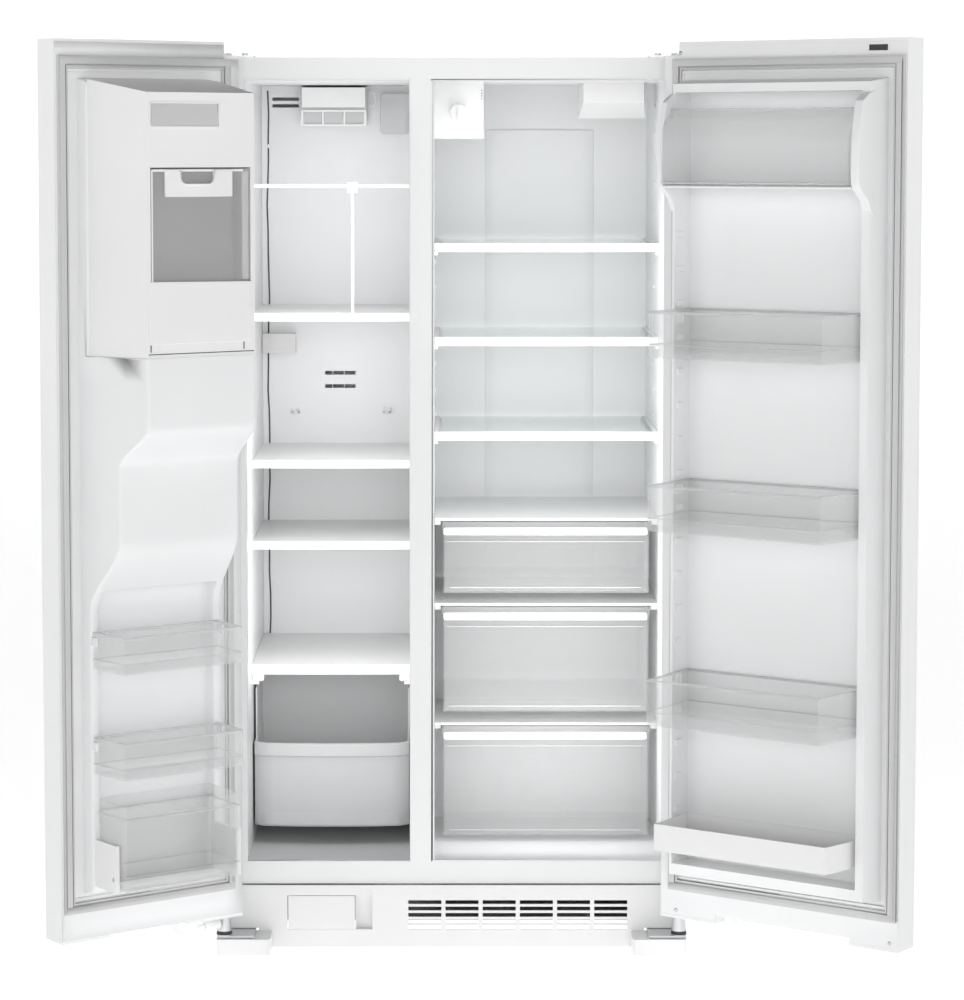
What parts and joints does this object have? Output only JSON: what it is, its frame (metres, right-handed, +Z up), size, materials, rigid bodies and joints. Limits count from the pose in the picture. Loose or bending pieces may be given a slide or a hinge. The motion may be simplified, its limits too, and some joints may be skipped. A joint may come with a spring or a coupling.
{
  "type": "side by side refrigerator",
  "caption": "Side by side refrigerator, doors open: shelves, drawers and basket inside, clear bins and an ice module on the doors, roller base.",
  "frame": {"origin": "on the floor at the bottom centre of the box round the whole appliance with both doors open", "axes": "+X to the right of a person facing the appliance, +Y into it from front to back, +Z up"},
  "size_m": [1.6274, 1.1744, 1.754],
  "materials": {
    "white_enamel": "gloss",
    "insulation": "matte",
    "white_liner": "satin",
    "white_plastic": "satin",
    "clear_plastic": "gloss",
    "shelf_glass": "gloss",
    "lamp_lens": "gloss",
    "gasket_vinyl": "matte",
    "zinc_steel": "satin",
    "board_grey": "matte",
    "compressor_black": "satin",
    "coil_aluminium": "satin",
    "filter_plastic": "satin",
    "roller_plastic": "matte"
  },
  "bodies": {
    "cabinet": {"cabinet_shell": "white_enamel", "cabinet_foam": "insulation", "freezer_liner": "white_liner", "fridge_liner": "white_liner", "back_panel": "zinc_steel", "base_pan": "zinc_steel", "levelling_legs": "zinc_steel", "machine_cover": "board_grey", "power_inlet": "board_grey", "compressor": "compressor_black", "condenser": "compressor_black", "fan_motors": "zinc_steel", "base_grille": "white_plastic", "water_filter": "filter_plastic", "foot_covers": "white_plastic", "lower_hinges": "zinc_steel", "upper_hinges": "zinc_steel", "evaporator_cover": "white_plastic", "evaporator": "coil_aluminium", "air_box": "white_plastic", "freezer_shelves": "white_plastic", "basket_shelf": "white_plastic", "control_box": "white_plastic", "duct_panel": "white_plastic", "lamp_covers": "lamp_lens", "glass_shelves": "shelf_glass", "shelf_trims": "white_plastic", "crisper_covers": "white_plastic"},
    "freezer_door": {"freezer_door_skin": "white_enamel", "freezer_door_foam": "insulation", "freezer_door_liner": "white_liner", "freezer_gasket": "gasket_vinyl", "freezer_handle": "white_plastic", "dispenser_housing": "board_grey", "ice_housing": "white_plastic", "ice_maker": "board_grey", "freezer_door_bins": "clear_plastic", "tilt_brackets": "white_plastic"},
    "dispenser_lever": {"dispenser_lever": "board_grey"},
    "ice_bin": {"ice_bin": "clear_plastic"},
    "tilt_bin": {"tilt_bin": "clear_plastic"},
    "fridge_door": {"fridge_door_skin": "white_enamel", "fridge_door_foam": "insulation", "fridge_door_liner": "white_liner", "fridge_gasket": "gasket_vinyl", "fridge_handle": "white_plastic", "fridge_door_bins": "clear_plastic", "bottom_bin": "white_plastic", "dairy_shelf": "white_plastic"},
    "dairy_lid": {"dairy_lid": "clear_plastic"},
    "freezer_basket": {"freezer_basket": "clear_plastic"},
    "upper_drawer": {"upper_drawer": "clear_plastic"},
    "middle_drawer": {"middle_drawer": "clear_plastic"},
    "lower_drawer": {"lower_drawer": "clear_plastic"},
    "temperature_knob": {"temperature_knob": "white_plastic"},
    "filter_flap": {"filter_flap": "white_plastic"},
    "rear_roller_left": {"roller_left": "roller_plastic"},
    "rear_roller_right": {"roller_right": "roller_plastic"},
    "condenser_fan": {"condenser_fan": "board_grey"},
    "evaporator_fan": {"evaporator_fan": "board_grey"}
  },
  "joints": [
    {"name": "freezer_door_hinge", "type": "hinge", "parent": "cabinet", "child": "freezer_door", "pos_m": [-0.48691, -0.18577, 0.9], "axis": [0, 0, 1], "range_deg": [0, 144]},
    {"name": "fridge_door_hinge", "type": "hinge", "parent": "cabinet", "child": "fridge_door", "pos_m": [0.39109, -0.18577, 0.9], "axis": [0, 0, -1], "range_deg": [0, 145]},
    {"name": "dispenser_lever_pivot", "type": "hinge", "parent": "freezer_door", "child": "dispenser_lever", "pos_m": [-0.60843, -0.32474, 1.09], "axis": [-0.809, -0.5878, 0], "range_deg": [0, 12], "stiffness_Nm_per_rad": 0.4},
    {"name": "ice_bin_slide", "type": "slide", "parent": "freezer_door", "child": "ice_bin", "axis": [-0.5878, 0.809, 0], "range_m": [-0.11, 0]},
    {"name": "tilt_bin_pivot", "type": "hinge", "parent": "freezer_door", "child": "tilt_bin", "pos_m": [-0.54105, -0.39197, 0.216], "axis": [-0.809, -0.5878, 0], "range_deg": [-20, 0]},
    {"name": "dairy_lid_pivot", "type": "hinge", "parent": "fridge_door", "child": "dairy_lid", "pos_m": [0.51763, -0.41477, 1.618], "axis": [0.8192, -0.5736, 0], "range_deg": [-75, 0]},
    {"name": "freezer_basket_slide", "type": "slide", "parent": "cabinet", "child": "freezer_basket", "axis": [0, 1, 0], "range_m": [-0.21, 0]},
    {"name": "upper_drawer_slide", "type": "slide", "parent": "cabinet", "child": "upper_drawer", "axis": [0, 1, 0], "range_m": [-0.24, 0]},
    {"name": "middle_drawer_slide", "type": "slide", "parent": "cabinet", "child": "middle_drawer", "axis": [0, 1, 0], "range_m": [-0.24, 0]},
    {"name": "lower_drawer_slide", "type": "slide", "parent": "cabinet", "child": "lower_drawer", "axis": [0, 1, 0], "range_m": [-0.24, 0]},
    {"name": "temperature_knob_turn", "type": "hinge", "parent": "cabinet", "child": "temperature_knob", "pos_m": [-0.03391, 0.01723, 1.625], "axis": [0, -1, 0], "range_deg": [0, 270]},
    {"name": "filter_flap_hinge", "type": "hinge", "parent": "cabinet", "child": "filter_flap", "pos_m": [-0.36391, -0.13827, 0.0725], "axis": [0, 0, 1], "range_deg": [-95, 0]},
    {"name": "rear_roller_left_spin", "type": "hinge", "parent": "cabinet", "child": "rear_roller_left", "pos_m": [-0.44791, 0.50723, 0.022], "axis": [1, 0, 0], "continuous": true},
    {"name": "rear_roller_right_spin", "type": "hinge", "parent": "cabinet", "child": "rear_roller_right", "pos_m": [0.35209, 0.50723, 0.022], "axis": [1, 0, 0], "continuous": true},
    {"name": "condenser_fan_spin", "type": "hinge", "parent": "cabinet", "child": "condenser_fan", "pos_m": [-0.11791, 0.44723, 0.15], "axis": [1, 0, 0], "continuous": true},
    {"name": "evaporator_fan_spin", "type": "hinge", "parent": "cabinet", "child": "evaporator_fan", "pos_m": [-0.28791, 0.42323, 1.42], "axis": [0, 1, 0], "continuous": true}
  ]
}
